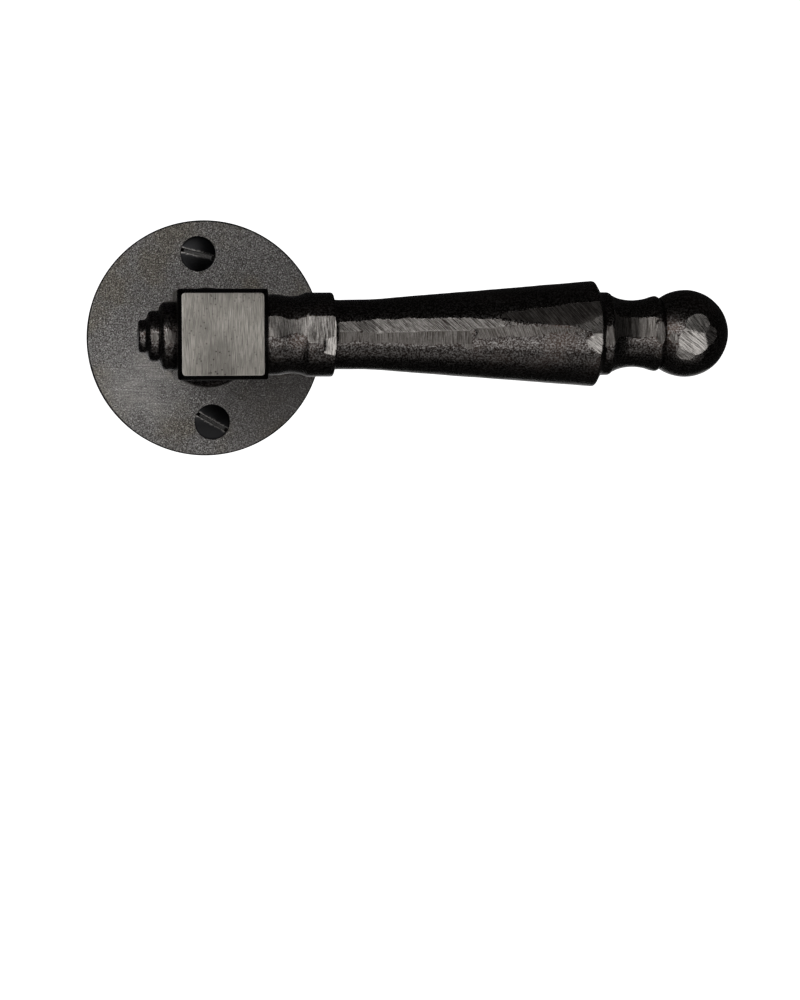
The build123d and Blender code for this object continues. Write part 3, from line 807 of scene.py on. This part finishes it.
# partly painted light: each pass's shine scales the brightness of its bare metal
tone = maths(tree, "MULTIPLY", tone, marks["gloss"], clamp=True)
metal = blend_colour(tree, tone, belt_dark, belt_bright)
shade = blend_colour(tree, broken, shade, metal)
# front of the head, squared last
polish = blend_colour(tree, between(tree, strokes.outputs["Lines"], 0.3, 0.75), polish_dark, polish_bright)
clouds = between(tree, skin.outputs["Patches"], 0.3, 0.7)
polish = blend_colour(tree, maths(tree, "MULTIPLY", clouds, 0.5), polish, polish_cloud)
specks = node(tree, "TexVoronoi", {"Vector": where, "Scale": 900.0})
speck = maths(tree, "MULTIPLY", between(tree, specks.outputs["Distance"], 0.26, 0.10), clouds)
polish = blend_colour(tree, maths(tree, "MULTIPLY", speck, 0.75), polish, polish_speck)
shade = blend_colour(tree, marks["front"], shade, polish)
# painted shade: the bevel round the front of the head is darkened to near black
shade = blend_colour(tree, marks["bevel"], shade, bevel_painted_shade)
# painted highlight: a thin bright line along the edges of the head's front face
shade = blend_colour(tree, maths(tree, "MULTIPLY", marks["edge"], 0.35), shade, belt_bright)
tree.links.new(shade, surface.inputs["Base Color"])
surface.inputs["Metallic"].default_value = 1.0
bare = maths(tree, "MAXIMUM", broken, marks["front"])
rough = maths(tree, "MULTIPLY_ADD", skin.outputs["Grain"], 0.2, 0.17)
rough = maths(tree, "MULTIPLY_ADD", brown, 0.10, rough)
tree.links.new(maths(tree, "MULTIPLY_ADD", bare, 0.12, rough), surface.inputs["Roughness"])
cast = maths(tree, "MULTIPLY_ADD", bare, -0.85, 1.0)
height = maths(tree, "MULTIPLY_ADD", skin.outputs["Height"], cast,
               maths(tree, "MULTIPLY", strokes.outputs["Lines"], maths(tree, "MULTIPLY", bare, 0.4)))
bump = node(tree, "Bump", {"Height": height, "Strength": 0.35, "Distance": 0.12 * mm})
tree.links.new(bump.outputs[0], surface.inputs["Normal"])

turned_iron = plain_steel("turned_iron", (0.30, 0.28, 0.26), 0.4, stroke_turn=45)
for piece in (grip, neck, finial, head, spigot):
    piece.data.materials.append(turned_iron if piece is spigot else lever_iron)
    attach(piece, "lever")
    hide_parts("lever")

# ---------------------------------------------------------------------------------------------
# Return spring. Round spring wire, wound round the bush; its back leg sits in the bush's flange
# and base plate, its front leg in the neck.
wire = 0.8
wire_sides = 14
spring_radius = 9.7
spring_back = 5.9
spring_front = 12.84
spring_turns = 3.75
coil_steps = 270
leg_turn = 90.0           # degrees about the spindle
leg_back = 3.4
leg_front = 16.6
path = [(leg_turn, off_door) for off_door in np.linspace(leg_back, spring_back - 0.7, 6)]
for step in range(coil_steps + 1):
    share = step / coil_steps
    path.append((leg_turn - 360 * spring_turns * share, spring_back + (spring_front - spring_back) * share))
path += [(leg_turn - 360 * spring_turns, off_door)
         for off_door in np.linspace(spring_front + 0.7, leg_front, 7)]
line = [about_door(off_door * mm, spring_radius * mm, -math.radians(turn)) for turn, off_door in path]
shape = bmesh.new()
rings = []
for i, point in enumerate(line):
    ahead = (line[min(i + 1, len(line) - 1)] - line[max(i - 1, 0)]).normalized()
    outward = Vector((point.x, 0, point.z)).normalized()
    outward = (outward - ahead * outward.dot(ahead)).normalized()
    across = ahead.cross(outward)
    rings.append([shape.verts.new(point + (outward * math.cos(t) + across * math.sin(t)) * wire * mm)
                  for t in np.linspace(0, 2 * math.pi, wire_sides, endpoint=False)])
for one, other in zip(rings, rings[1:]):
    for i in range(wire_sides):
        j = (i + 1) % wire_sides
        shape.faces.new((one[i], one[j], other[j], other[i]))
shape.faces.new(rings[0])
shape.faces.new(rings[-1])
spring = piece_from("return_spring_wire", shape)
smooth(spring)
spring.data.materials.append(plain_steel("spring_steel", (0.34, 0.33, 0.31), 0.3, tint=0.3))
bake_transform(spring)
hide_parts("return_spring")

# ---------------------------------------------------------------------------------------------
# Spindle. Cold-drawn square steel bar, its ends chamfered. The grub screw holds it in the neck,
# and it reaches through the door to work the latch.
spindle_half = 4.0
spindle_front = -34
spindle_back = 66
spindle_chamfer = 0.8
spindle = bar("spindle_bar", (-spindle_half, spindle_front, -spindle_half),
              (spindle_half, spindle_back, spindle_half))
shape = bmesh.new()
shape.from_mesh(spindle.data)
ends = [edge for edge in shape.edges if abs(edge.verts[0].co.y - edge.verts[1].co.y) < 1 * mm]
bmesh.ops.bevel(shape, geom=ends, offset=spindle_chamfer * mm, affect="EDGES", segments=1)
shape.to_mesh(spindle.data)
shape.free()
round_edges(spindle, 0.15 * mm, sharper_than=20)
spindle.data.materials.append(plain_steel("drawn_steel", (0.46, 0.45, 0.43), 0.32, stroke_turn=45))
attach(spindle, "lever")
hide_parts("spindle")

# ---------------------------------------------------------------------------------------------
# Grub screw. M6, blackened steel, with a hexagon socket. It is screwed into the neck from the side
# away from the grip, and bears on the spindle.
grub_radius = 2.95
grub_root = 2.4
grub_tip = 2.1
grub_outer = -9.0
grub_inner = -4.0
key_half = 1.5            # half the socket's width over its flats
key_depth = 2.5
threads = [(grub_outer, grub_root, 0.1)]
for i in range(5):
    threads += [(grub_outer + 0.5 + i, grub_radius, 0.08), (grub_outer + 1.0 + i - 0.06, grub_root, 0.05)]
grub = lathe("grub_screw_m6", rounded((grub_outer, 0, 0), *threads[:-1], (grub_inner, grub_tip, 0.1),
                                      (grub_inner, 0, 0)), along_grub, turns=64)
key_corner = key_half / math.cos(math.pi / 6) * mm
shape = bmesh.new()
bmesh.ops.create_cone(shape, segments=6, radius1=key_corner, radius2=key_corner, depth=2 * key_depth * mm,
                      cap_ends=True)
hexagon = piece_from("key", shape)
hexagon.data.transform(Matrix.Translation(Vector((grub_outer, -grub_height, 0)) * mm)
                       @ Matrix.Rotation(math.pi / 2, 4, "Y"))
cut(grub, hexagon)
round_edges(grub, 0.05 * mm, sharper_than=40, segments=2)
grub.data.materials.append(black_steel)
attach(grub, "lever")
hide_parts("grub_screw")

# ---------------------------------------------------------------------------------------------
# Stop washer, wave washer and circlip. Steel stampings on the spigot, behind the base plate: the
# first turns with the lever between the stop pins, and the circlip holds the lever in the bush.
# Their CAD shapes are right and stay.
for label in ("stop_washer", "wave_washer", "circlip"):
    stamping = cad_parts[label]
    stamping.data.materials.clear()
    stamping.data.materials.append(bright_steel)

# ---------------------------------------------------------------------------------------------
# Studio. A pale sweep well below the handle, two large soft lights in front, low and high, and
# weak ones below and behind, so that the iron shows a soft sheen and stays dark elsewhere. The
# sweep is clear when seen from below, and nothing reflects it.
floor_level = -0.30       # metres
floor_glow = 1.2
sweep_start = 1.2
sweep_radius = 1.2
sweep = [(-4.0, 0), (-0.5, 0), (sweep_start, 0)]
sweep += [(sweep_start + sweep_radius * math.sin(t), sweep_radius - sweep_radius * math.cos(t))
          for t in np.linspace(0.1, math.pi / 2, 14)]
sweep += [(sweep_start + sweep_radius, 3.0)]
shape = bmesh.new()
edges = [[shape.verts.new((x, y, floor_level + z)) for y, z in sweep] for x in (-4, 4)]
for i in range(len(sweep) - 1):
    shape.faces.new((edges[0][i], edges[1][i], edges[1][i + 1], edges[0][i + 1]))
floor = piece_from("floor", shape)
material, tree, surface, where = new_material("pale_floor")
surface.inputs["Base Color"].default_value = (0.9, 0.9, 0.9, 1)
surface.inputs["Roughness"].default_value = 0.9
surface.inputs["Emission Color"].default_value = (1, 1, 1, 1)
surface.inputs["Emission Strength"].default_value = floor_glow
seen = node(tree, "NewGeometry").outputs["Backfacing"]
clear = tree.nodes.new("ShaderNodeBsdfTransparent")
either = tree.nodes.new("ShaderNodeMixShader")
tree.links.new(seen, either.inputs[0])
tree.links.new(surface.outputs[0], either.inputs[2])
tree.links.new(clear.outputs[0], either.inputs[1])
output = next(made for made in tree.nodes if made.type == "OUTPUT_MATERIAL")
tree.links.new(either.outputs[0], output.inputs["Surface"])
floor.data.materials.append(material)
floor.visible_glossy = False
floor.visible_diffuse = False
floor.visible_shadow = False


light_target = Vector((0.03, -0.05, 0))
light_distance = 1.2


def softbox(name, direction, width, height, power):
    """Large soft light, placed by azimuth and elevation about the handle."""
    azimuth, elevation = map(math.radians, direction)
    data = bpy.data.lights.new(name, "AREA")
    data.shape = "RECTANGLE"
    data.size, data.size_y = width, height
    data.energy = power
    light = bpy.data.objects.new(name, data)
    bpy.context.scene.collection.objects.link(light)
    away = Vector((math.sin(azimuth) * math.cos(elevation), -math.cos(azimuth) * math.cos(elevation),
                   math.sin(elevation)))
    light.location = light_target + away * light_distance
    light.rotation_euler = away.to_track_quat("Z", "Y").to_euler()
    light.visible_camera = False


softbox("front low", (-3, -23), 1.5, 0.64, 4.2)
softbox("front high", (-26, 12), 1.3, 0.48, 5.6)
softbox("below", (8, -60), 1.3, 0.5, 0.8)
softbox("behind", (180, -14), 1.3, 0.6, 1.3)

world = bpy.data.worlds.new("studio")
world.use_nodes = True
tree = world.node_tree
tree.nodes.clear()
rays = tree.nodes.new("ShaderNodeLightPath")
dim, white, mix = (tree.nodes.new("ShaderNode" + kind) for kind in ("Background", "Background", "MixShader"))
dim.inputs["Strength"].default_value = 0.025
white.inputs["Color"].default_value = (1, 1, 1, 1)
tree.links.new(rays.outputs["Is Camera Ray"], mix.inputs[0])
tree.links.new(dim.outputs[0], mix.inputs[1])
tree.links.new(white.outputs[0], mix.inputs[2])
tree.links.new(mix.outputs[0], tree.nodes.new("ShaderNodeOutputWorld").inputs[0])
bpy.context.scene.world = world
